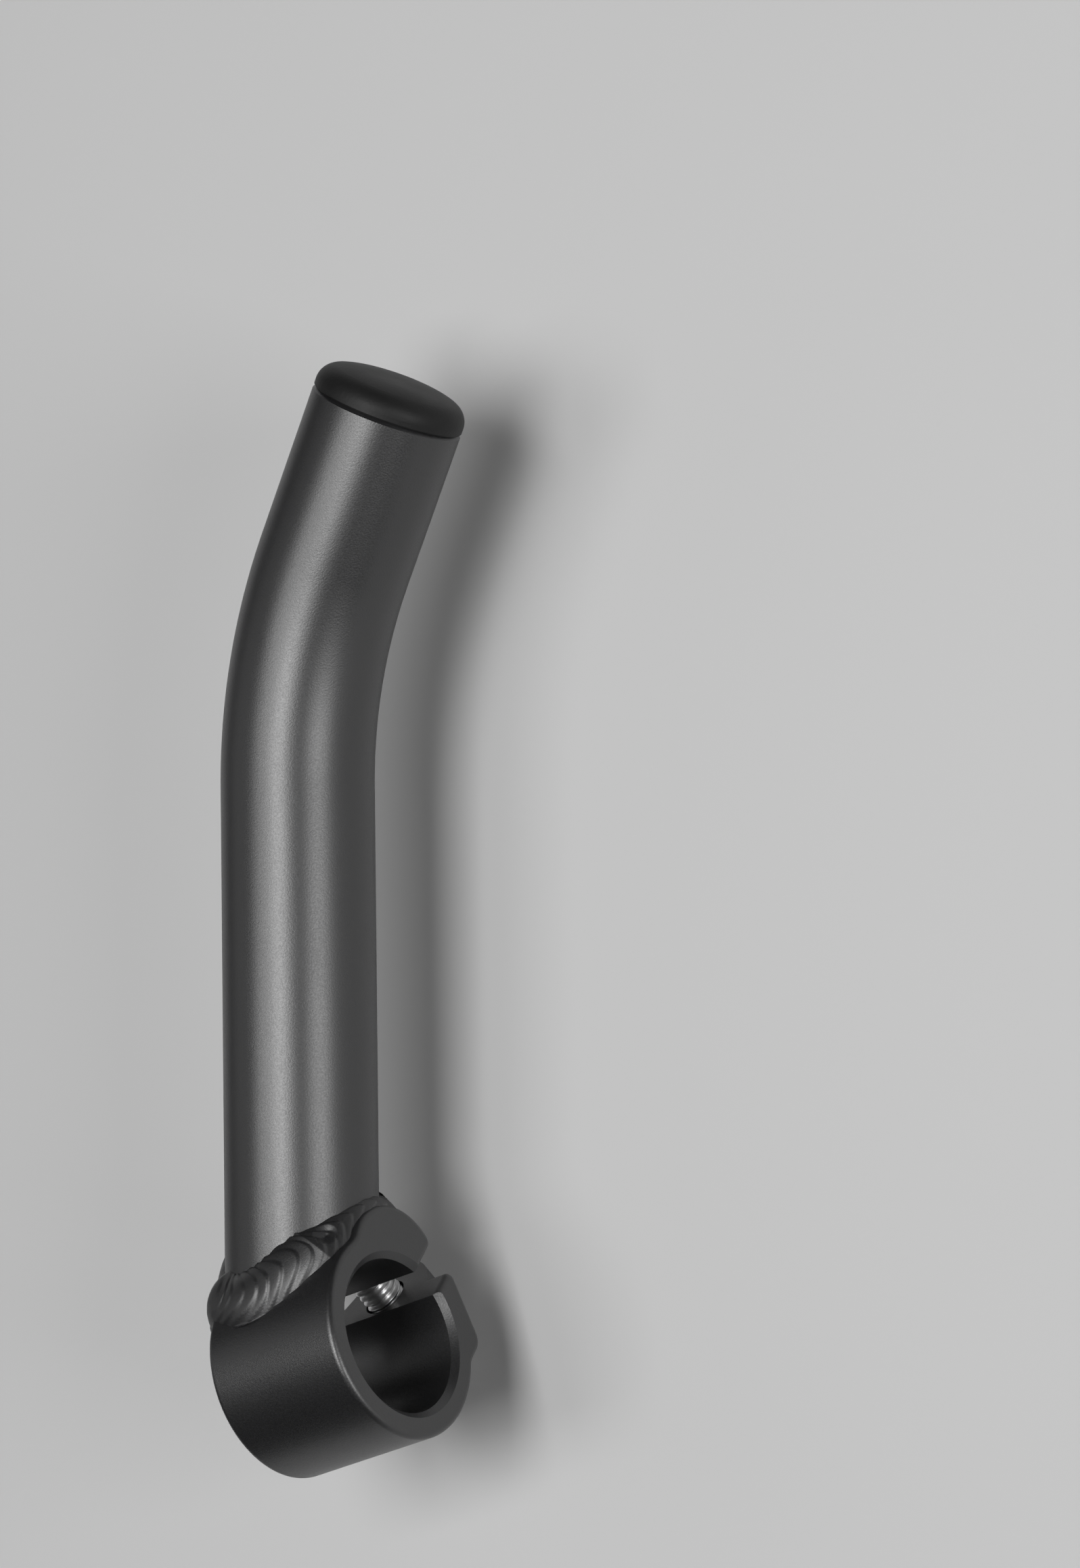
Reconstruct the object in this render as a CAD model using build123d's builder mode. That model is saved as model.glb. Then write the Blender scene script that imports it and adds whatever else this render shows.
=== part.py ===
from build123d import *
import math
import os

os.makedirs("parts", exist_ok=True)

# Bicycle bar end, left hand. X runs along the handlebar towards the stem, Y forwards, Z up.
# The origin is the middle of the clamp bore. Lengths are millimetres, angles degrees.

# Handlebar clamp
bar_diameter = 22.2
slip = 0.05
collar_wall = 3.85
collar_length = 23.5
bore_chamfer = 0.9
collar_edge = 0.9

# Split between the two ears, its angle measured from +Y towards -Z
split_angle = 50.0
split_gap = 4.6
ear_corner = 1.2

# Upper ear: a round lobe beside the foot of the horn
lobe_angle = 16.4
lobe_distance = 9.9
lobe_radius = 9.2
lobe_blend = 5.0

# Lower ear: a flat shoulder that ends behind the screw head
shoulder_distance = 16.1
shoulder_tilt = 25.7
shoulder_end = 12.9
shoulder_corner = 2.5
shoulder_blend = 2.0

# Lug around the clamp screw
lug_wall_thread = 3.0
lug_wall_head = 1.6
lug_skirt = 19.0
lug_end_wall = 1.4
lug_edge = 0.7

# Clamp screw, M6 with a hexagon socket, and its washer
screw_diameter = 6.0
screw_length = 18.0
screw_to_bore = 0.55
head_diameter = 10.0
head_height = 6.0
head_edge = 0.6
socket_flats = 5.0
socket_depth = 3.2
thread_clearance = 0.05
shank_clearance = 0.3
tip_chamfer = 0.7
tip_room = 0.8
washer_diameter = 10.8
washer_thickness = 1.0
washer_clearance = 0.2
washer_edge = 0.2
pocket_clearance = 0.3
seat_distance = 8.6

# Horn: a bent tube whose axis crosses the bore axis outboard of the middle
horn_diameter = 22.0
horn_wall = 2.0
horn_lean = 17.0
horn_cross = -7.3
horn_straight = 82.7
horn_bend_angle = 25.6
horn_bend_radius = 74.5
horn_tip = 22.8
horn_mouth_edge = 0.4

# Weld bead around the foot of the horn
bead_radius = 6.2
bead_throat = 4.3
bead_overhang = 3.6
bead_inset = 0.35
bead_ripples = 34
bead_stations = 20
bead_blend = 14
slope_step = 0.5

# End plug
cap_height = 4.0
cap_edge = 3.0
cap_turn = 70.0
cap_dome = 0.7
cap_lip = 0.3
spigot_length = 15.0
spigot_clearance = 0.35
spigot_wall = 2.65
spigot_floor = 1.5
rib_count = 4
rib_bite = 0.08
rib_width = 1.6

bore_radius = bar_diameter / 2 + slip
collar_radius = bore_radius + collar_wall
half_length = collar_length / 2
screw_radius = screw_diameter / 2
screw_distance = bore_radius + screw_to_bore + screw_radius
pocket_radius = washer_diameter / 2 + pocket_clearance
horn_radius = horn_diameter / 2
horn_inner = horn_radius - horn_wall


def at_angle(distance, angle):
    """Y and Z of a point at a distance from the bore axis."""
    turn = math.radians(angle)
    return (distance * math.cos(turn), -distance * math.sin(turn))


def across_split(outward, along):
    """Y and Z of a point measured along the split and along the screw."""
    out_y, out_z = at_angle(outward, split_angle)
    along_y, along_z = at_angle(along, split_angle + 90)
    return (out_y + along_y, out_z + along_z)


def shoulder_height(along):
    """Distance of the lower ear's flat from the bore axis, along the split."""
    tilt = math.radians(shoulder_tilt)
    return (shoulder_distance - along * math.sin(tilt)) / math.cos(tilt)


def screw_plane(along):
    """Plane across the screw axis: local y points away from the bore."""
    y, z = across_split(screw_distance, along)
    head_y, head_z = at_angle(1, split_angle + 90)
    return Plane(origin=(0, y, z), x_dir=(-1, 0, 0), z_dir=(0, head_y, head_z))


# Collar blank: the outline of ring, lobe, shoulder and split, with no holes yet
foot = across_split(math.sqrt(collar_radius**2 - shoulder_end**2), shoulder_end)
corner = across_split(shoulder_height(shoulder_end), shoulder_end)
split_reach = shoulder_height(0) + shoulder_corner
ear_tip = across_split(shoulder_height(0), 0)
with BuildSketch(Plane.YZ.offset(-half_length)) as outline:
    Circle(collar_radius)
    with Locations(at_angle(lobe_distance, lobe_angle)):
        Circle(lobe_radius)
    with BuildLine():
        Polyline((0, 0), ear_tip, corner, foot, close=True)
    make_face()
    with Locations(Location((0, 0, 0), (0, 0, -split_angle))):
        Rectangle(split_reach, split_gap, align=(Align.MIN, Align.CENTER), mode=Mode.SUBTRACT)
    fillet(outline.vertices().sort_by_distance((*corner, 0))[0], shoulder_corner)
    fillet(outline.vertices().sort_by_distance((*foot, 0))[0], shoulder_blend)
    fillet(outline.vertices().sort_by(Axis.Y)[-1], lobe_blend)
    fillet(outline.vertices().sort_by_distance((*ear_tip, 0))[:2], ear_corner)

with BuildPart() as collar_blank:
    extrude(outline.sketch, amount=collar_length)
    ends = collar_blank.faces().filter_by(Axis.X)
    fillet(ends.edges(), collar_edge)

# Lug: a rounded rib along the screw axis, wider at the head's end
thread_side = screw_radius + lug_wall_thread
head_side = pocket_radius + lug_wall_head
hole_end = seat_distance + washer_thickness - screw_length - tip_room
skirt_drop = screw_distance - bore_radius
with BuildPart() as lug:
    for start, end, radius in (
        (hole_end - lug_end_wall, 0, thread_side),
        (0, shoulder_end, head_side),
    ):
        with BuildSketch(screw_plane(start)):
            Circle(radius)
            with Locations((0, -skirt_drop)):
                Rectangle(lug_skirt, split_gap / 2)
            make_hull()
        extrude(amount=end - start)
    for end in (hole_end - lug_end_wall, shoulder_end):
        end_face = lug.faces().sort_by_distance(screw_plane(end).origin)[0]
        fillet(end_face.edges(), lug_edge)

# Collar: blank and lug, bored, split, and drilled for the screw
with BuildPart() as clamp_collar:
    add(collar_blank)
    add(lug)
    with BuildSketch(Plane.XY):
        mouth = bore_radius + bore_chamfer
        with BuildLine():
            Polyline(
                (-half_length - bore_chamfer, 0),
                (-half_length - bore_chamfer, mouth + bore_chamfer),
                (-half_length + bore_chamfer, bore_radius),
                (half_length - bore_chamfer, bore_radius),
                (half_length + bore_chamfer, mouth + bore_chamfer),
                (half_length + bore_chamfer, 0),
                close=True,
            )
        make_face()
    revolve(axis=Axis.X, mode=Mode.SUBTRACT)
    with BuildSketch(screw_plane(-split_gap / 2)):
        Rectangle(2 * collar_length, 2 * head_side)
    extrude(amount=split_gap, mode=Mode.SUBTRACT)
    with BuildSketch(screw_plane(shoulder_end)):
        Circle(pocket_radius)
    extrude(amount=seat_distance - shoulder_end, mode=Mode.SUBTRACT)
    with BuildSketch(screw_plane(seat_distance)):
        Circle(screw_radius + shank_clearance)
    extrude(amount=-seat_distance, mode=Mode.SUBTRACT)
    with BuildSketch(screw_plane(0)):
        Circle(screw_radius + thread_clearance)
    extrude(amount=hole_end, mode=Mode.SUBTRACT)
clamp_collar.part.label = "clamp_collar"
export_step(clamp_collar.part, "parts/clamp_collar.step")

# Seat for the weld, its end edges sharp and the split filled. The cope that cuts back the foot
# of the tube is the same, run out past both ends.
with BuildSketch(Plane.YZ.offset(-half_length)) as split_filler:
    with Locations(Location((0, 0, 0), (0, 0, -split_angle))):
        Rectangle(split_reach, split_gap + 2 * ear_corner, align=(Align.MIN, Align.CENTER))
with BuildPart() as seat:
    extrude(outline.sketch, amount=collar_length)
    extrude(split_filler.sketch, amount=collar_length)
    add(lug)
with BuildPart() as cope:
    extrude(outline.sketch, amount=collar_length + horn_diameter, both=True)
    extrude(split_filler.sketch, amount=collar_length + horn_diameter, both=True)
    add(lug)


# Horn: straight, bend and tip lie in the XY plane
def heading(angle):
    """Direction in the XY plane, its angle measured from +Y towards +X."""
    turn = math.radians(angle)
    return Vector(math.sin(turn), math.cos(turn), 0)


lean = math.radians(horn_lean)
horn_exit = horn_lean + horn_bend_angle
foot_point = Vector(horn_cross, 0, 0) + heading(horn_lean) * (bore_radius / 2)
bend_point = Vector(horn_cross, 0, 0) + heading(horn_lean) * horn_straight
bend_centre = bend_point + heading(horn_lean + 90) * horn_bend_radius
tip_point = bend_centre - heading(horn_exit + 90) * horn_bend_radius
mouth_point = tip_point + heading(horn_exit) * horn_tip
foot_plane = Plane(origin=foot_point, x_dir=(0, 0, 1), z_dir=heading(horn_lean))
bend_plane = Plane(origin=bend_point, x_dir=(0, 0, 1), z_dir=heading(horn_lean))
tip_plane = Plane(origin=tip_point, x_dir=(0, 0, 1), z_dir=heading(horn_exit))
mouth_plane = Plane(origin=mouth_point, x_dir=(0, 0, 1), z_dir=heading(horn_exit))


def bent_rod(radius):
    """A round bar along the horn's axis, from inside the collar to the mouth."""
    with BuildPart() as rod:
        with BuildSketch(foot_plane):
            Circle(radius)
        extrude(amount=horn_straight - bore_radius / 2)
        with BuildSketch(bend_plane):
            Circle(radius)
        revolve(axis=Axis(bend_centre, (0, 0, -1)), revolution_arc=horn_bend_angle)
        with BuildSketch(tip_plane):
            Circle(radius)
        extrude(amount=horn_tip)
    return rod.part


with BuildPart() as horn_solid:
    add(bent_rod(horn_radius))
    add(cope, mode=Mode.SUBTRACT)

with BuildPart() as horn_tube:
    add(horn_solid)
    add(bent_rod(horn_inner), mode=Mode.SUBTRACT)
    mouth_rims = horn_tube.faces().sort_by_distance(mouth_point)[0].edges()
    chamfer(mouth_rims.sort_by(SortBy.RADIUS)[-1], horn_mouth_edge)
horn_tube.part.label = "horn_tube"
export_step(horn_tube.part, "parts/horn_tube.step")


# Weld bead: round drops laid one over the next along the corner of tube and collar
def seat_height(x, z):
    """Y of the collar's upper surface: ring, lobe and lug blended into one height."""
    ring = math.sqrt(collar_radius**2 - z**2)
    lobe_y, lobe_z = at_angle(lobe_distance, lobe_angle)
    lobe = lobe_y + math.sqrt(max(lobe_radius**2 - (z - lobe_z) ** 2, 0))
    rib_top = screw_distance + math.sqrt(max(thread_side**2 - x**2, 0))
    rib = (rib_top + z * math.sin(math.radians(split_angle))) / math.cos(math.radians(split_angle))
    heights = [ring, lobe, rib if z < 0 else 0]
    return sum(height**bead_blend for height in heights) ** (1 / bead_blend)


def drop_centre(turn):
    """Centre of the bead at an angle around the tube, sunk into the corner by what the throat leaves."""
    side = heading(horn_lean + 90) * math.cos(turn) + Vector(0, 0, math.sin(turn))
    point = foot_point + side * horn_radius
    for _ in range(6):
        gap = seat_height(point.X, point.Z) - point.Y
        point = point + heading(horn_lean) * (gap / math.cos(lean))
    point.X = max(point.X, -half_length)
    low = seat_height(point.X, point.Z - slope_step)
    high = seat_height(point.X, point.Z + slope_step)
    normal = Vector(0, 2 * slope_step, low - high).normalized()
    throat = bead_throat * (side - normal).length / math.sqrt(2)
    return point - (side + normal).normalized() * (bead_radius - throat)


with BuildLine() as bead_line:
    Spline(
        *[drop_centre(2 * math.pi * i / bead_stations) for i in range(bead_stations)],
        periodic=True,
    )
with BuildPart() as weld_bead:
    for ripple in range(bead_ripples):
        place = bead_line.line @ (ripple / bead_ripples)
        along_bead = bead_line.line % (ripple / bead_ripples)
        room = half_length - abs(place.X) + (bead_overhang if place.X < 0 else -bead_inset)
        with Locations(Plane(origin=place, x_dir=foot_point - place, z_dir=along_bead)):
            Sphere(min(bead_radius, room))
    add(horn_solid, mode=Mode.SUBTRACT)
    add(seat, mode=Mode.SUBTRACT)
    with BuildSketch(Plane.YZ.offset(-half_length - horn_diameter)):
        Circle(bore_radius + 2 * bore_chamfer)
    extrude(amount=collar_length + horn_diameter, mode=Mode.SUBTRACT)
weld_bead.part.label = "weld_bead"
export_step(weld_bead.part, "parts/weld_bead.step")

# End plug: a domed cap on the tube's mouth, with a ribbed spigot inside
spigot_radius = horn_inner - spigot_clearance
dome_top = cap_height + cap_dome
rib_radius = horn_inner + rib_bite
rib_pitch = spigot_length / (rib_count + 1)
with BuildPart() as end_plug:
    with BuildSketch(Plane(origin=mouth_point, x_dir=(0, 0, 1), z_dir=-heading(horn_exit + 90))):
        with BuildLine():
            Polyline((0, 0), (horn_radius - cap_lip, 0), (horn_radius, cap_lip))
            side = Line((horn_radius, cap_lip), (horn_radius, cap_height - cap_edge))
            edge = JernArc(side @ 1, (0, 1), cap_edge, cap_turn)
            Spline(edge @ 1, (0, dome_top), tangents=(edge % 1, (-1, 0)))
            Line((0, dome_top), (0, 0))
        make_face()
        Rectangle(spigot_radius, spigot_length, align=(Align.MIN, Align.MAX))
        for rib in range(rib_count):
            top = -rib_pitch * (rib + 0.5)
            with BuildLine():
                Polyline(
                    (0, top),
                    (spigot_radius, top),
                    (rib_radius, top - rib_width / 3),
                    (spigot_radius, top - rib_width),
                    (0, top - rib_width),
                    close=True,
                )
            make_face()
    revolve(axis=Axis(mouth_point, heading(horn_exit)))
    with BuildSketch(mouth_plane.offset(-spigot_length)):
        Circle(spigot_radius - spigot_wall)
    extrude(amount=spigot_length - spigot_floor, mode=Mode.SUBTRACT)
end_plug.part.label = "end_plug"
export_step(end_plug.part, "parts/end_plug.step")

# Clamp screw: cylinder head with a hexagon socket, the shank at its thread's outer diameter
under_head = seat_distance + washer_thickness
head_top = screw_plane(under_head + head_height)
shank_end = screw_plane(under_head - screw_length)
with BuildPart() as clamp_screw:
    with BuildSketch(screw_plane(under_head)):
        Circle(head_diameter / 2)
    extrude(amount=head_height)
    with BuildSketch(shank_end):
        Circle(screw_radius)
    extrude(amount=screw_length)
    rims = clamp_screw.edges().filter_by(GeomType.CIRCLE)
    fillet(rims.sort_by_distance(head_top.origin)[0], head_edge)
    rims = clamp_screw.edges().filter_by(GeomType.CIRCLE)
    chamfer(rims.sort_by_distance(shank_end.origin)[0], tip_chamfer)
    with BuildSketch(head_top):
        RegularPolygon(socket_flats / 2, 6, major_radius=False)
    extrude(amount=-socket_depth, mode=Mode.SUBTRACT)
clamp_screw.part.label = "clamp_screw"
export_step(clamp_screw.part, "parts/clamp_screw.step")

# Washer: flat ring between the head and the bottom of its pocket
with BuildPart() as screw_washer:
    with BuildSketch(screw_plane(seat_distance)):
        Circle(washer_diameter / 2)
        Circle(screw_radius + washer_clearance, mode=Mode.SUBTRACT)
    extrude(amount=washer_thickness)
    outer_rims = screw_washer.edges().filter_by(GeomType.CIRCLE).sort_by(SortBy.RADIUS)[-2:]
    chamfer(outer_rims, washer_edge)
screw_washer.part.label = "screw_washer"
export_step(screw_washer.part, "parts/screw_washer.step")

for piece in (clamp_collar, horn_tube, weld_bead, end_plug, clamp_screw, screw_washer):
    print(piece.part.label, len(piece.part.solids()), round(piece.part.volume, 1))
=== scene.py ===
# Bar end for a bicycle handlebar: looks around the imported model
import bpy
import math
from mathutils import Matrix, Vector


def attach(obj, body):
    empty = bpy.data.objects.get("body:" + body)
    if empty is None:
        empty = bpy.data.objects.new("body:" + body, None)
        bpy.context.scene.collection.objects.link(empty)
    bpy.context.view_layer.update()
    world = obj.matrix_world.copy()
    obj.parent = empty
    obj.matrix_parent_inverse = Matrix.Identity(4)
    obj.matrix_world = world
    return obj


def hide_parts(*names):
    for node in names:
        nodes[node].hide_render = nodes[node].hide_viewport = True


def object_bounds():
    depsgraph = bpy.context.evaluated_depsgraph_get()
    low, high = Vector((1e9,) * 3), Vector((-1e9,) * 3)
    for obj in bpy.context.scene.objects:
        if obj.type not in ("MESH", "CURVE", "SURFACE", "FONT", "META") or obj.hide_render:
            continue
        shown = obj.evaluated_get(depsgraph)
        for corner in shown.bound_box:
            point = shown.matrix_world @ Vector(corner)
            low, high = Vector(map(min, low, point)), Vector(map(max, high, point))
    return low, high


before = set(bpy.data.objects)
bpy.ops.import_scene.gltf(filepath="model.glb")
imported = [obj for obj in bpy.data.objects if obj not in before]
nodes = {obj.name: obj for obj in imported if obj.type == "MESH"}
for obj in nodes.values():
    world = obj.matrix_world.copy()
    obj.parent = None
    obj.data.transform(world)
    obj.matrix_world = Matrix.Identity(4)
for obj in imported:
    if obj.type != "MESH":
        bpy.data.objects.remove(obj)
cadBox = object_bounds()
scene = bpy.context.scene
print("loaded", sorted(nodes))


def addObject(name, data):
    made = bpy.data.objects.new(name, data)
    scene.collection.objects.link(made)
    return made


def headingAt(degrees):  # direction in the XY plane, measured from +Y towards +X
    turn = math.radians(degrees)
    return Vector((math.sin(turn), math.cos(turn), 0))


# node maths: an expression on wires adds its nodes
class Wire:
    def __init__(self, graph, socket):
        self.graph = graph
        self.socket = socket

    def __add__(self, other):
        return self.graph.number("ADD", self, other)

    def __sub__(self, other):
        return self.graph.number("SUBTRACT", self, other)

    def __rsub__(self, other):
        return self.graph.number("SUBTRACT", other, self)

    def __mul__(self, other):
        return self.graph.number("MULTIPLY", self, other)

    def __truediv__(self, other):
        return self.graph.number("DIVIDE", self, other)

    def __rtruediv__(self, other):
        return self.graph.number("DIVIDE", other, self)

    def __pow__(self, other):
        return self.graph.number("POWER", self, other)

    def __rpow__(self, other):
        return self.graph.number("POWER", other, self)

    def __neg__(self):
        return self.graph.number("MULTIPLY", self, -1.0)

    def __abs__(self):
        return self.graph.number("ABSOLUTE", self)

    __radd__ = __add__
    __rmul__ = __mul__


class Graph:
    def __init__(self, tree):
        self.tree = tree

    def plug(self, socket, value):
        if isinstance(value, Wire):
            self.tree.links.new(value.socket, socket)
        else:
            socket.default_value = value

    def node(self, kind, settings=None, *values, out=0, **named):
        made = self.tree.nodes.new(kind)
        for key, value in (settings or {}).items():
            setattr(made, key, value)
        for socket, value in zip(made.inputs, values):
            self.plug(socket, value)
        for key, value in named.items():
            self.plug(made.inputs[key.replace("_", " ")], value)
        return Wire(self, made.outputs[out])

    def number(self, operation, *values):
        return self.node("ShaderNodeMath", {"operation": operation}, *values)

    def noise(self, place, scale, detail):
        return self.node("ShaderNodeTexNoise", Vector=place, Scale=scale, Detail=detail)


class Finish(Graph):
    def __init__(self, name):
        self.material = bpy.data.materials.new(name)
        self.material.use_nodes = True
        super().__init__(self.material.node_tree)
        self.shader = self.tree.nodes["Principled BSDF"]
        self.spot = self.node("ShaderNodeTexCoord", out="Object")

    def grain(self, scale, detail):
        return self.noise(self.spot, scale, detail)

    def blend(self, share, first, second):
        mixed = self.node("ShaderNodeMix", {"data_type": "RGBA"}, share, out=2)
        colourSockets = mixed.socket.node.inputs[6:8]  # they share their names with number sockets
        for socket, colour in zip(colourSockets, (first, second)):
            self.plug(socket, (*colour, 1))
        return mixed

    def bump(self, height, distance):
        return self.node("ShaderNodeBump", Height=height, Distance=distance, out="Normal")

    def setAll(self, **named):
        for key, value in named.items():
            self.plug(self.shader.inputs[key.replace("_", " ")], value)
        return self.material


# satin black coat on the alloy pieces; the grain's height is in metres
satinCoat = {
    "dark": (0.0038, 0.0038, 0.0042),
    "light": (0.0076, 0.0076, 0.0083),
    "roughness": 0.40,
    "reflection": 1.0,
    "grainScale": 4200,
    "grainHeight": 0.000016,
    "grainRoughness": 0.16,
    "patchScale": 60,
    "patchRoughness": 0.05,
    "patchShare": 0.3,
}


def makeSatinBlack(name, sizes):
    finish = Finish(name)
    grain = finish.grain(sizes["grainScale"], 1.0)
    patch = finish.grain(sizes["patchScale"], 3.0)
    share = grain * (1 - sizes["patchShare"]) + patch * sizes["patchShare"]
    rough = sizes["roughness"] + (grain - 0.5) * sizes["grainRoughness"]
    rough = rough + (patch - 0.5) * sizes["patchRoughness"]
    return finish.setAll(
        Base_Color=finish.blend(share, sizes["dark"], sizes["light"]),
        Roughness=rough,
        Specular_IOR_Level=sizes["reflection"],
        Normal=finish.bump(grain, sizes["grainHeight"]),
    )


satinBlack = makeSatinBlack("satinBlack", satinCoat)
weldBlack = makeSatinBlack("weldBlack", {**satinCoat, "roughness": 0.46})  # duller on the weld
print("alloy finishes made")


# plug plastic, and zinc plated steel
plugPlastic = {
    "dark": (0.0055, 0.0055, 0.0055),
    "light": (0.0110, 0.0110, 0.0110),
    "roughness": 0.52,
    "reflection": 0.25,
    "grainScale": 2400,
    "grainHeight": 0.000024,
    "patchScale": 220,
    "patchRoughness": 0.15,
}


def makePlugBlack():
    finish = Finish("plugBlack")
    grain = finish.grain(plugPlastic["grainScale"], 2.0)
    patch = finish.grain(plugPlastic["patchScale"], 3.0)
    return finish.setAll(
        Base_Color=finish.blend(patch, plugPlastic["dark"], plugPlastic["light"]),
        Roughness=plugPlastic["roughness"] + (patch - 0.5) * plugPlastic["patchRoughness"],
        Specular_IOR_Level=plugPlastic["reflection"],
        Normal=finish.bump(grain, plugPlastic["grainHeight"]),
    )


zincSteel = {
    "dark": (0.56, 0.56, 0.57),
    "light": (0.84, 0.84, 0.83),
    "roughness": 0.24,
    "cloudScale": 700,
    "cloudRoughness": 0.14,
    "grainScale": 5200,
    "grainHeight": 0.000003,
}


def makeZinc():
    finish = Finish("zincPlate")
    cloud = finish.grain(zincSteel["cloudScale"], 4.0)
    grain = finish.grain(zincSteel["grainScale"], 1.0)
    return finish.setAll(
        Base_Color=finish.blend(cloud, zincSteel["dark"], zincSteel["light"]),
        Metallic=1.0,
        Roughness=zincSteel["roughness"] + cloud * zincSteel["cloudRoughness"],
        Normal=finish.bump(grain, zincSteel["grainHeight"]),
    )


plugBlack = makePlugBlack()
zincPlate = makeZinc()
print("plug and screw finishes made")


# where the tube stands on the collar and its lug, in the solids' millimetres
seatShape = {
    "collarRadius": 15.0,
    "halfLength": 11.75,  # of the collar
    "lobeAngle": 16.4,  # the lobe above the split, down from straight ahead
    "lobeDistance": 9.9,
    "lobeRadius": 9.2,
    "screwDistance": 14.7,  # from the bore's axis
    "threadSide": 6.0,  # radius of the lug on the thread's side
    "splitAngle": 50.0,  # down from straight ahead
    "blend": 14,  # more makes the forms meet more sharply
    "tubeRadius": 11.0,
    "lean": 17.0,  # from straight ahead towards the stem
    "cross": -7.3,  # where the tube's axis meets the bore's axis
    "boreRadius": 11.15,
    "beadRadius": 6.2,
    "beadThroat": 4.3,  # from the corner to the bead's face
    "beadOverhang": 3.6,  # the most that it passes the outboard end
    "beadInset": 0.35,  # the least that it keeps from the inboard end
    "cornerSteps": 6,
}


def seatHeight(x, z):
    s = seatShape
    split = math.radians(s["splitAngle"])
    lobe = math.radians(s["lobeAngle"])
    heights = [math.sqrt(s["collarRadius"] ** 2 - z**2)]
    lobeY, lobeZ = s["lobeDistance"] * math.cos(lobe), -s["lobeDistance"] * math.sin(lobe)
    heights.append(lobeY + math.sqrt(max(s["lobeRadius"] ** 2 - (z - lobeZ) ** 2, 0)))
    if z < 0 and abs(x) < s["threadSide"]:
        ribTop = s["screwDistance"] + math.sqrt(max(s["threadSide"] ** 2 - x**2, 0))
        heights.append((ribTop + z * math.sin(split)) / math.cos(split))
    return sum(h ** s["blend"] for h in heights) ** (1 / s["blend"])


def cornerPoint(turn, radius):  # where a line along the tube's wall meets the seat
    s = seatShape
    foot = Vector((s["cross"], 0, 0)) + headingAt(s["lean"]) * (s["boreRadius"] / 2)
    wall = headingAt(s["lean"] + 90) * math.cos(turn) + Vector((0, 0, math.sin(turn)))
    corner = foot + wall * radius
    for _ in range(s["cornerSteps"]):
        gap = seatHeight(corner.x, corner.z) - corner.y
        corner = corner + headingAt(s["lean"]) * (gap / math.cos(math.radians(s["lean"])))
    return corner, wall


class ShapeGraph(Graph):  # a geometry tree with named sizes
    def __init__(self, name, sizes):
        super().__init__(bpy.data.node_groups.new(name, "GeometryNodeTree"))
        self.inputs = {}
        self.addInput("Geometry", "NodeSocketGeometry")
        kinds = {int: "NodeSocketInt", float: "NodeSocketFloat", tuple: "NodeSocketVector"}
        for label, value in sizes.items():
            self.addInput(label, kinds[type(value)]).default_value = value
        self.addInput("Coat", "NodeSocketMaterial")
        self.tree.interface.new_socket(
            name="Geometry", in_out="OUTPUT", socket_type="NodeSocketGeometry"
        )
        start = self.node("NodeGroupInput").socket.node
        self.given = {socket.name: Wire(self, socket) for socket in start.outputs if socket.name}

    def addInput(self, label, kind):
        made = self.tree.interface.new_socket(name=label, in_out="INPUT", socket_type=kind)
        self.inputs[label] = made.identifier
        return made

    def vector(self, operation, *values, out=0):
        return self.node("ShaderNodeVectorMath", {"operation": operation}, *values, out=out)

    def moved(self, place, direction, length):
        shift = self.node("ShaderNodeVectorMath", {"operation": "SCALE"}, direction, Scale=length)
        return self.vector("ADD", place, shift)

    def unit(self, direction):
        return self.vector("NORMALIZE", direction)

    def dot(self, first, second):
        return self.vector("DOT_PRODUCT", first, second, out="Value")

    def length(self, direction):
        return self.vector("LENGTH", direction, out="Value")

    def split(self, place):
        made = self.node("ShaderNodeSeparateXYZ", None, place).socket.node
        return [Wire(self, socket) for socket in made.outputs]

    def join(self, x, y, z):
        return self.node("ShaderNodeCombineXYZ", None, x, y, z)

    def between(self, value, low, high):
        return self.number("MINIMUM", self.number("MAXIMUM", value, low), high)

    def short(self, wanted, found):  # by how much a length falls short
        return self.number("MAXIMUM", wanted - found, 0.0)

    def keep(self, geometry, kind, value):  # the value stays with its point
        made = self.node("GeometryNodeCaptureAttribute", {"domain": "POINT"}).socket.node
        made.capture_items.new(kind, "Kept")
        for socket, source in zip(made.inputs, (geometry, value)):
            self.plug(socket, source)
        return Wire(self, made.outputs[0]), Wire(self, made.outputs[1])

    def named(self, name, kind="FLOAT_VECTOR"):
        settings = {"data_type": kind}
        return self.node("GeometryNodeInputNamedAttribute", settings, Name=name, out="Attribute")

    def sweep(self, line, radius, closed):
        ring = self.node(
            "GeometryNodeCurvePrimitiveCircle", {"mode": "RADIUS"},
            Resolution=self.given["Around"], Radius=radius,
        )
        return self.node(
            "GeometryNodeCurveToMesh", Curve=line, Profile_Curve=ring, Fill_Caps=closed,
        )

    def finish(self, geometry, place):
        laid = self.node("GeometryNodeSetPosition", Geometry=geometry, Position=place)
        smooth = self.node("GeometryNodeSetShadeSmooth", Geometry=laid)
        real = self.node("GeometryNodeRealizeInstances", Geometry=smooth)
        coated = self.node("GeometryNodeSetMaterial", Geometry=real, Material=self.given["Coat"])
        self.plug(self.tree.nodes.new("NodeGroupOutput").inputs[0], coated)


def bake(made, graph, material, name):  # the modifier's result, as a plain mesh on a clean object
    modifier = made.modifiers.new("shape", "NODES")
    modifier.node_group = graph.tree
    modifier[graph.inputs["Coat"]] = material
    bpy.context.view_layer.update()
    evaluated = made.evaluated_get(bpy.context.evaluated_depsgraph_get())
    mesh = bpy.data.meshes.new_from_object(evaluated)
    made.modifiers.remove(modifier)
    bpy.data.objects.remove(made)
    mesh.name = name
    return addObject(name, mesh)


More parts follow.
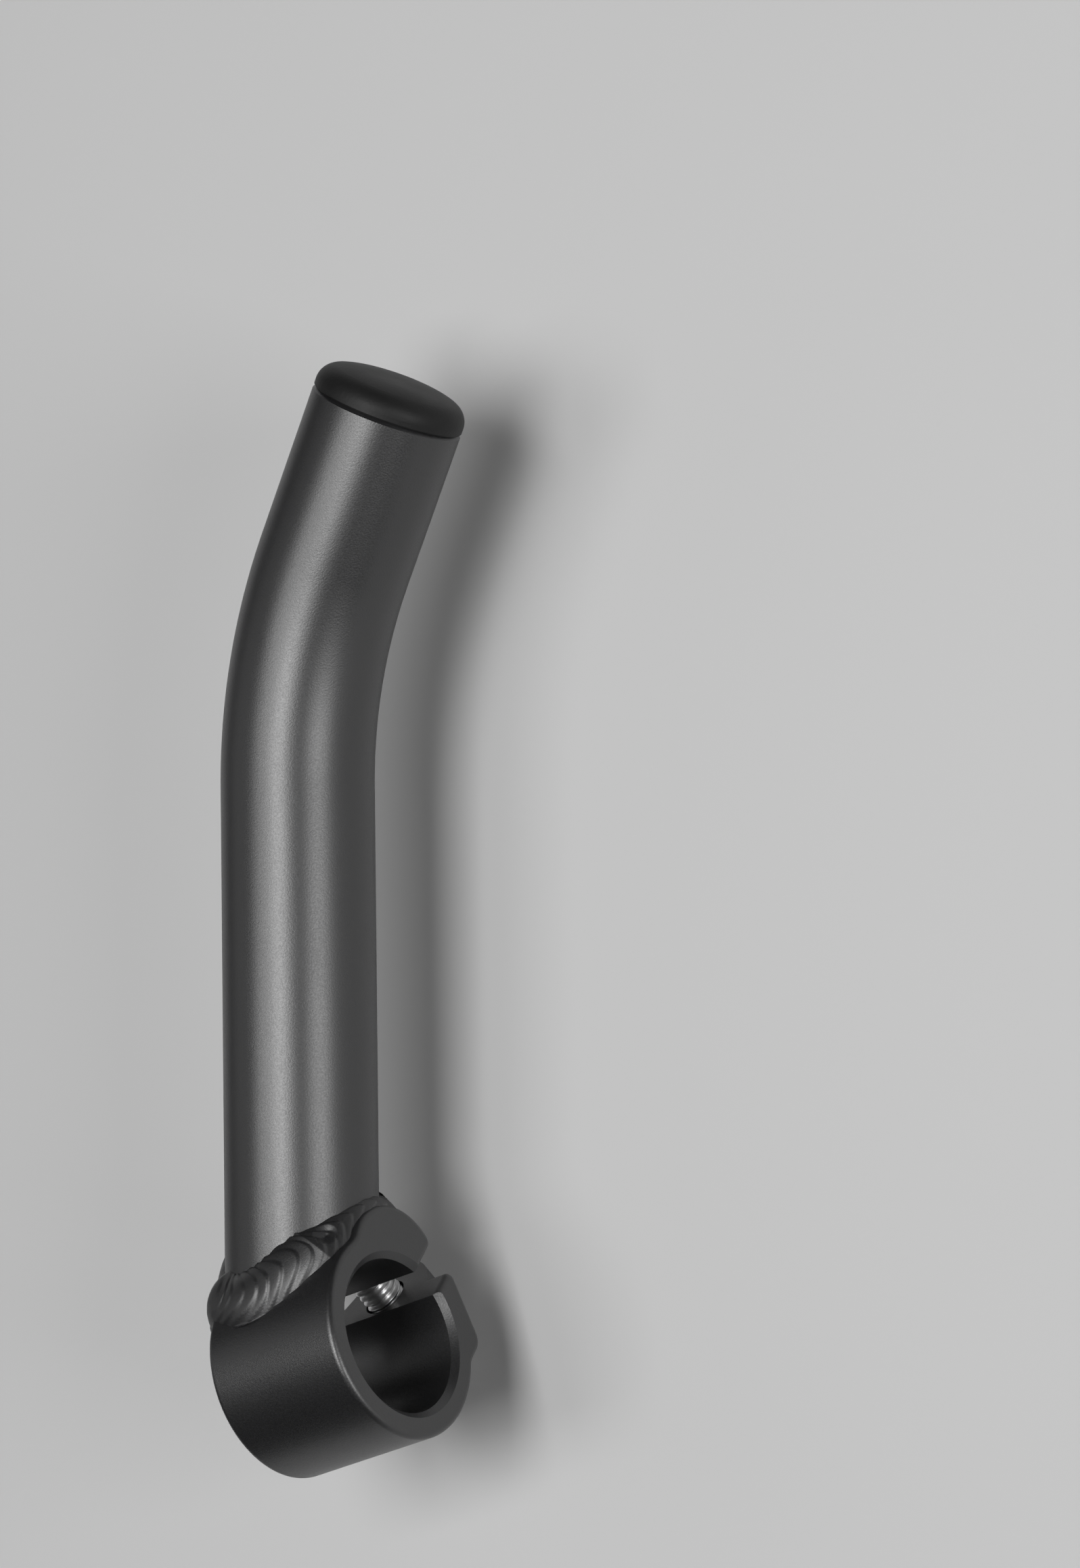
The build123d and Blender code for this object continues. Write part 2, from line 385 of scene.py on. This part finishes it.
def ringFaces(rings, around, closed):  # quads between each ring of points and the next one
    faces = []
    for ring in range(rings if closed else rings - 1):
        low, high = ring * around, (ring + 1) % rings * around
        for i in range(around):
            j = (i + 1) % around
            faces.append((low + i, low + j, high + j, high + i))
    return faces


# weld bead, in metres: ripples laid along the corner of tube and collar
weldLook = {
    "points": 20,
    "stepsPerPoint": 16,
    "ripples": 36,
    "stepsPerRipple": 15,
    "around": 112,
    "startRadius": 0.001,  # of the plain tube that is pushed into shape
    "rippleDepth": 0.00023,
    "rippleCurve": 1.4,
    "edgeSlope": 5.0,
    "bow": 4.2,  # in ripples, from the bead's middle to its edge
    "unevenness": 0.8,  # in ripples
    "unevenScale": 95.0,
    "fadeScale": 110.0,
    "fadeGain": 1.9,
    "smoothBelow": -0.0095,  # along the handlebar
    "smoothSlope": 400.0,
    "smoothLeast": 0.15,
    "lumps": 0.00006,
    "lumpScale": 330.0,
    "lumpLevel": 0.85,
    "buried": 0.0014,  # the deepest that it goes under wall and seat
    "endSlope": 2500.0,
    "clearance": 0.0131,  # from the bore's axis
    "splitFace": 0.0025,  # from the middle of the split
    "screwClearance": 0.0034,  # from the screw's axis
    "crater": (0.0086, 0.0158, 0.0077),  # where the weld ends
    "craterSize": 0.0019,
    "craterDepth": 0.0009,
}


def beadStation(turn):
    s = seatShape
    corner, wall = cornerPoint(turn, s["tubeRadius"])
    corner.x = max(corner.x, -s["halfLength"])
    above, below = corner.z + 0.5, corner.z - 0.5  # one millimetre apart
    slope = seatHeight(corner.x, below) - seatHeight(corner.x, above)
    seat = Vector((0, 1, slope)).normalized()
    throat = s["beadThroat"] * (wall - seat).length / math.sqrt(2)
    centre = corner - (wall + seat).normalized() * (s["beadRadius"] - throat)
    return centre, corner, wall, seat


def weldGraph():
    w = weldLook
    g = ShapeGraph("weldRipples", {
        "Ripples": w["ripples"],
        "Steps": w["stepsPerRipple"],
        "Around": w["around"],
        "Depth": w["rippleDepth"],
        "Bow": w["bow"],
        "Unevenness": w["unevenness"],
        "Smooth Below": w["smoothBelow"],
        "Lumps": w["lumps"],
        "Buried": w["buried"],
        "End Face": -seatShape["halfLength"] / 1000,
        "Clearance": w["clearance"],
        "Split Face": w["splitFace"],
        "Screw Clearance": w["screwClearance"],
        "Crater": w["crater"],
        "Crater Size": w["craterSize"],
    })
    given = g.given
    line = g.node("GeometryNodeMeshToCurve", Mesh=given["Geometry"])
    line = g.node("GeometryNodeResampleCurve", Curve=line, Count=given["Ripples"] * given["Steps"])
    line, factor = g.keep(line, "FLOAT", g.node("GeometryNodeSplineParameter", out="Factor"))
    line, centre = g.keep(line, "VECTOR", g.node("GeometryNodeInputPosition"))
    line, tangent = g.keep(line, "VECTOR", g.node("GeometryNodeInputTangent"))
    tube = g.sweep(line, w["startRadius"], closed=False)

    # each point's place round the bead: most of them come to lie on the open side
    place = g.node("GeometryNodeInputPosition")
    spoke = g.unit(g.vector("SUBTRACT", place, centre))
    outward = g.unit(g.vector("ADD", g.named("wall"), g.named("seat")))
    across = g.unit(g.vector("CROSS_PRODUCT", tangent, outward))
    turn = g.number("ARCTAN2", g.dot(spoke, across), g.dot(spoke, outward))
    turn = turn * abs(turn / math.pi)
    side = g.number("SINE", turn)
    level = g.vector("CROSS_PRODUCT", across, tangent)
    spoke = g.moved(g.moved((0, 0, 0), across, side), level, g.number("COSINE", turn))

    # bowed scales, each with a step at its end, smoother towards the outboard end
    drift = (g.noise(place, w["unevenScale"], 1.0) - 0.5) * given["Unevenness"]
    saw = g.number("FRACT", factor * given["Ripples"] - side * side * given["Bow"] + drift)
    deep = given["Depth"] * (g.noise(centre, w["fadeScale"], 1.0) * w["fadeGain"])
    inboard = g.split(place)[0] - given["Smooth Below"]
    deep = deep * g.between(inboard * w["smoothSlope"], w["smoothLeast"], 1.0)
    step = g.number("MINIMUM", (1.0 - saw) * w["edgeSlope"], 1.0)
    drop = saw ** w["rippleCurve"] * step * -deep
    lumps = (g.noise(place, w["lumpScale"], 3.0) - w["lumpLevel"]) * given["Lumps"]
    reach = g.named("reach", "FLOAT")
    far = g.vector("DISTANCE", g.moved(centre, spoke, reach), given["Crater"], out="Value")
    pit = g.number("MAXIMUM", 1.0 - far / given["Crater Size"], 0.0) * -w["craterDepth"]
    laid = g.moved(centre, spoke, reach + (drop + lumps + pit))

    # no deeper than a little way under the wall and the seat
    for face in ("wall", "seat"):
        under = g.dot(g.vector("SUBTRACT", laid, g.named("corner")), g.named(face))
        lift = g.short(-given["Buried"], under)
        if face == "seat":  # past the collar's end there is no seat
            inside = g.split(laid)[0] - given["End Face"]
            lift = lift * g.between(inside * w["endSlope"], 0.0, 1.0)
        laid = g.moved(laid, g.named(face), lift)

    # clear of the handlebar, on the upper ear's side of the split, and clear of the screw
    y, z = g.split(laid)[1:]
    flat = g.join(0.0, y, z)
    laid = g.moved(laid, g.unit(flat), g.short(given["Clearance"], g.length(flat)))
    split = math.radians(seatShape["splitAngle"])
    normal = (0, math.sin(split), math.cos(split))
    laid = g.moved(laid, normal, g.short(given["Split Face"], g.dot(laid, normal)))
    distance = seatShape["screwDistance"] / 1000
    screwPlace = (0, math.cos(split) * distance, -math.sin(split) * distance)
    fromScrew = g.vector("SUBTRACT", laid, screwPlace)
    radial = g.moved(fromScrew, normal, -g.dot(fromScrew, normal))
    laid = g.moved(laid, g.unit(radial), g.short(given["Screw Clearance"], g.length(radial)))
    g.finish(tube, laid)
    return g


def loopPoint(points, place):  # a smooth closed line through the points
    count = len(points)
    first = int(place) % count
    a, b, c, d = (points[(first + i - 1) % count] for i in range(4))
    t = place - int(place)
    return b + ((c - a) + ((a * 2 - b * 5 + c * 4 - d) + (b * 3 - a - c * 3 + d) * t) * t) * (t / 2)


def makeWeld():
    count, steps = weldLook["points"], weldLook["stepsPerPoint"]
    columns = list(zip(*(beadStation(2 * math.pi * i / count) for i in range(count))))
    fine = steps * count
    rows = [[loopPoint(column, i / steps) for column in columns] for i in range(fine)]
    mesh = bpy.data.meshes.new("weldLine")
    edges = [(i, (i + 1) % fine) for i in range(fine)]
    mesh.from_pydata([row[0] / 1000 for row in rows], edges, [])
    for name, index, size in (("corner", 1, 1000), ("wall", 2, 1), ("seat", 3, 1)):
        kept = mesh.attributes.new(name, "FLOAT_VECTOR", "POINT")
        for item, row in zip(kept.data, rows):
            item.vector = row[index] / size
    reach = mesh.attributes.new("reach", "FLOAT", "POINT")
    for item, row in zip(reach.data, rows):
        x = row[0].x
        past = seatShape["beadOverhang"] if x < 0 else -seatShape["beadInset"]
        room = seatShape["halfLength"] - abs(x) + past
        item.value = min(seatShape["beadRadius"], room) / 1000
    return bake(addObject("weldLine", mesh), weldGraph(), weldBlack, "weldBeadLook")


weld = makeWeld()
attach(weld, "bar_end")
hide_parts("weld_bead")
print("weld bead made", len(weld.data.polygons))


# horn: the bent tube in millimetres and degrees, as the solid, its shading even all the way round
hornLook = {
    "wall": 2.0,
    "straight": 82.7,
    "bend": 25.6,
    "bendRadius": 74.5,
    "tip": 22.8,
    "mouthEdge": 0.4,
    "sunk": 1.0,  # the foot, under the seat
    "clearOfWeld": 34.0,  # where the plain rings begin
    "around": 144,
    "bendSteps": 36,
    "straightSteps": 6,
    "tipSteps": 3,
    "sharpAngle": 40,
}


def hornStation(distance):  # centre and direction of the axis, at a distance from the bore's axis
    h, lean = hornLook, seatShape["lean"]
    start = Vector((seatShape["cross"], 0, 0))
    if distance <= h["straight"]:
        return start + headingAt(lean) * distance, lean
    centre = start + headingAt(lean) * h["straight"] + headingAt(lean + 90) * h["bendRadius"]
    turned = min(math.degrees((distance - h["straight"]) / h["bendRadius"]), h["bend"])
    rest = distance - h["straight"] - math.radians(turned) * h["bendRadius"]
    angle = lean + turned
    return centre - headingAt(angle + 90) * h["bendRadius"] + headingAt(angle) * rest, angle


def makeHorn():
    h, outer = hornLook, seatShape["tubeRadius"]
    inner = outer - h["wall"]
    turns = [2 * math.pi * i / h["around"] for i in range(h["around"])]
    arc = math.radians(h["bend"]) * h["bendRadius"]
    mouth = h["straight"] + arc + h["tip"]
    straight, tip = h["straight"] - h["clearOfWeld"], h["tip"] - h["mouthEdge"]
    steps = h["straightSteps"]
    places = [h["clearOfWeld"] + straight * i / steps for i in range(steps + 1)]
    places += [h["straight"] + arc * (i + 1) / h["bendSteps"] for i in range(h["bendSteps"])]
    places += [h["straight"] + arc + tip * (i + 1) / h["tipSteps"] for i in range(h["tipSteps"])]

    def ring(distance, radius):
        centre, angle = hornStation(distance)
        side = headingAt(angle + 90)
        return [centre + (side * math.cos(t) + Vector((0, 0, math.sin(t)))) * radius for t in turns]

    def footRing(radius):  # sunk in the collar, under the weld
        back = headingAt(seatShape["lean"]) * h["sunk"]
        return [cornerPoint(t, radius)[0] - back for t in turns]

    rings = [footRing(outer)] + [ring(d, outer) for d in places]
    rings += [ring(mouth, outer - h["mouthEdge"]), ring(mouth, inner)]
    rings += [ring(d, inner) for d in reversed(places)] + [footRing(inner)]
    verts = [point / 1000 for row in rings for point in row]
    faces = ringFaces(len(rings), h["around"], closed=True)
    mesh = bpy.data.meshes.new("hornTubeLook")
    mesh.from_pydata(verts, [], [face[::-1] for face in faces])  # turned to point outwards
    mesh.materials.append(satinBlack)
    mesh.shade_smooth()
    mesh.set_sharp_from_angle(angle=math.radians(h["sharpAngle"]))
    return addObject("hornTubeLook", mesh)


horn = makeHorn()
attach(horn, "bar_end")
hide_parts("horn_tube")
print("horn made", len(horn.data.polygons))


# clamp screw, in metres: rolled thread, and a head with a hexagon socket
screwLook = {
    "underHead": 0.0096,
    "turns": 18,
    "pitch": 0.001,
    "crest": 0.00298,
    "root": 0.00240,
    "stepsPerTurn": 14,
    "around": 48,
    "tipLength": 0.0009,
    "flankFrom": 0.22,
    "flankSlope": 1.55,
    "headRadius": 0.005,
    "headHeight": 0.006,
    "headEdge": 0.0006,
    "headAround": 144,
    "headSharpAngle": 32,
    # height, and inset
    "foot": ((0.0, 0.0022), (0.0, 0.0004), (0.0001, 0.00022), (0.0004, 0.00012)),
    "knurlFrom": 0.0006,
    "knurlBelowTop": 0.0012,
    "knurls": 36,
    "knurlDepth": 0.00012,
    "top": (0.0010, 0.00012),  # below the top, and inset
    "edgeInset": 0.00005,
    "edgeSteps": 6,
    "socketFlats": 0.005,
    "socketDepth": 0.0032,
    "socketEdge": (0.00025, 0.00030),  # depth, and width
    "socketPoint": (0.0002, 0.0012, 0.0003),  # drop, radius, and drop to its middle
}


def screwMatrix():  # its z axis runs from the shank to the head
    split = math.radians(seatShape["splitAngle"])
    out = Vector((0, math.cos(split), -math.sin(split)))
    along = Vector((0, -math.sin(split), -math.cos(split)))
    side = along.cross(out)
    turn = Matrix([side.cross(along).normalized(), side, along]).transposed().to_4x4()
    place = out * (seatShape["screwDistance"] / 1000) + along * screwLook["underHead"]
    return Matrix.Translation(place) @ turn


def threadGraph():
    s = screwLook
    g = ShapeGraph("threadTurns", {
        "Turns": s["turns"],
        "Steps": s["stepsPerTurn"],
        "Around": s["around"],
        "Pitch": s["pitch"],
        "Crest": s["crest"],
        "Root": s["root"],
        "Tip": s["tipLength"],
    })
    given = g.given
    line = g.node("GeometryNodeMeshToCurve", Mesh=given["Geometry"])
    count = given["Turns"] * given["Steps"] + 1.0
    line = g.node("GeometryNodeResampleCurve", Curve=line, Count=count)
    rod = g.sweep(line, given["Root"], closed=True)
    x, y, z = g.split(g.node("GeometryNodeInputPosition"))
    angle = g.number("ARCTAN2", y, x) / (2 * math.pi)
    ridge = abs(g.number("FRACT", z / given["Pitch"] - angle) * 2.0 - 1.0)
    ridge = g.between((ridge - s["flankFrom"]) * s["flankSlope"], 0.0, 1.0)
    cut = given["Root"] + (given["Crest"] - given["Root"]) * ridge
    room = z + given["Turns"] * given["Pitch"] - given["Tip"]
    taper = given["Crest"] + g.number("MINIMUM", room, 0.0)  # at the tip
    radius = g.number("MINIMUM", cut, taper)
    g.finish(rod, g.moved(g.join(0.0, 0.0, z), g.unit(g.join(x, y, 0.0)), radius))
    return g


def makeThread():
    length = screwLook["turns"] * screwLook["pitch"]
    mesh = bpy.data.meshes.new("threadLine")
    mesh.from_pydata([(0, 0, -length), (0, 0, 0)], [(0, 1)], [])
    thread = bake(addObject("threadLine", mesh), threadGraph(), zincPlate, "screwThreadLook")
    thread.data.transform(screwMatrix())
    return thread


def makeHead():
    s = screwLook
    around = s["headAround"]
    turns = [2 * math.pi * i / around for i in range(around)]
    sixth = math.pi / 3

    def plain(radius):
        return [radius] * around

    def knurled(radius):
        return [radius - s["knurlDepth"] * (0.5 - 0.5 * math.cos(s["knurls"] * t)) for t in turns]

    def socket(grow):
        reach = s["socketFlats"] / 2 + grow
        return [reach / math.cos((t + sixth / 2) % sixth - sixth / 2) for t in turns]

    radius, height, edge = s["headRadius"], s["headHeight"], s["headEdge"]
    rings = [(z, plain(radius - inset)) for z, inset in s["foot"]]
    rings += [(s["knurlFrom"], knurled(radius)), (height - s["knurlBelowTop"], knurled(radius))]
    rings.append((height - s["top"][0], plain(radius - s["top"][1])))
    for step in range(s["edgeSteps"] + 1):
        bend = math.pi / 2 * step / s["edgeSteps"]
        rounded = radius - s["edgeInset"] - edge + edge * math.cos(bend)
        rings.append((height - edge + edge * math.sin(bend), plain(rounded)))
    bottom = height - s["socketDepth"]
    pointDrop, pointRadius, tipDrop = s["socketPoint"]
    rings += [(height, socket(s["socketEdge"][1])), (height - s["socketEdge"][0], socket(0.0))]
    rings += [(bottom, socket(0.0)), (bottom - pointDrop, plain(pointRadius))]
    verts = []
    for z, radii in rings:
        verts += [(r * math.cos(t), r * math.sin(t), z) for r, t in zip(radii, turns)]
    faces = ringFaces(len(rings), around, closed=False)
    foot, tip = len(verts), len(verts) + 1
    verts += [(0, 0, 0), (0, 0, bottom - pointDrop - tipDrop)]
    last = (len(rings) - 1) * around
    faces += [(foot, (i + 1) % around, i) for i in range(around)]
    faces += [(tip, last + i, last + (i + 1) % around) for i in range(around)]
    mesh = bpy.data.meshes.new("screwHeadLook")
    mesh.from_pydata(verts, [], faces)
    mesh.materials.append(zincPlate)
    mesh.shade_smooth()
    mesh.set_sharp_from_angle(angle=math.radians(s["headSharpAngle"]))
    mesh.transform(screwMatrix())
    return addObject("screwHeadLook", mesh)


for piece in (makeThread(), makeHead()):
    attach(piece, "screw")
    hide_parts("clamp_screw")
    print("screw piece made", piece.name, len(piece.data.polygons))


# the nodes that stay as they are get their finishes
def coat(name, material):
    node = nodes[name]
    node.data.materials.clear()
    node.data.materials.append(material)


coat("clamp_collar", satinBlack)
coat("end_plug", plugBlack)
coat("screw_washer", zincPlate)
print("nodes coated")


# floor, light and camera, in metres and watts
stageSettings = {
    "floorSize": 6.0,
    "roomBelow": 0.0039,  # for the screw's head when it is backed out
    "floorColour": (0.52, 0.52, 0.52),
    "floorRoughness": 0.8,
    "floorReflection": 0.2,
    "worldColour": (1.0, 1.0, 1.0),
    "worldStrength": 0.03,
}

lamps = {  # place, aim, width, height, power
    "topSoftbox": ((0.23, 0.02, 1.17), (0, 0.06, 0), 0.70, 0.45, 10.4),
    "topLeftSoftbox": ((-0.32, 0.10, 1.12), (0, 0.06, 0), 0.36, 0.45, 2.8),
    "sideSoftbox": ((1.10, -0.34, 0.46), (0, 0.06, 0), 0.50, 0.62, 6.8),
    "leftFill": ((-0.98, 0.38, 0.60), (0, 0.06, 0), 0.60, 0.60, 0.6),
}


def makeFloor():
    size = stageSettings["floorSize"]
    low = cadBox[0].z - stageSettings["roomBelow"]
    corners = [(x, y, low) for x, y in ((-size, -size), (size, -size), (size, size), (-size, size))]
    mesh = bpy.data.meshes.new("floor")
    mesh.from_pydata(corners, [], [(0, 1, 2, 3)])
    mesh.materials.append(Finish("floorPaper").setAll(
        Base_Color=(*stageSettings["floorColour"], 1),
        Roughness=stageSettings["floorRoughness"],
        Specular_IOR_Level=stageSettings["floorReflection"],
    ))
    addObject("floor", mesh)


def makeLamps():
    for name, (place, aim, width, height, power) in lamps.items():
        data = bpy.data.lights.new(name, "AREA")
        data.shape = "RECTANGLE"
        data.size, data.size_y, data.energy = width, height, power
        lamp = addObject(name, data)
        lamp.location = place
        lamp.rotation_euler = (Vector(aim) - Vector(place)).to_track_quat("-Z", "Y").to_euler()


def makeWorld():
    world = bpy.data.worlds.new("studio")
    scene.world = world
    world.use_nodes = True
    ground = world.node_tree.nodes["Background"]
    ground.inputs["Color"].default_value = (*stageSettings["worldColour"], 1)
    ground.inputs["Strength"].default_value = stageSettings["worldStrength"]


cameraSettings = {
    "place": (0.4360, -0.0773, 0.5314),
    "right": (0.7582, -0.2439, -0.6047),
    "up": (0.3235, 0.9459, 0.0241),
    "back": (0.5661, -0.2139, 0.7961),
    "lens": 111.52,
    "sensorHeight": 36.0,
    "clipStart": 0.01,
    "clipEnd": 20.0,
}


def makeCamera():
    data = bpy.data.cameras.new("camera")
    data.sensor_fit = "VERTICAL"
    data.sensor_height = cameraSettings["sensorHeight"]
    data.lens = cameraSettings["lens"]
    data.clip_start, data.clip_end = cameraSettings["clipStart"], cameraSettings["clipEnd"]
    camera = addObject("camera", data)
    turn = Matrix([cameraSettings[key] for key in ("right", "up", "back")]).transposed().to_4x4()
    camera.matrix_world = Matrix.Translation(cameraSettings["place"]) @ turn
    scene.camera = camera


makeFloor()
makeLamps()
makeWorld()
makeCamera()
scene.view_settings.view_transform = "Standard"
print("stage ready")

bpy.context.view_layer.update()
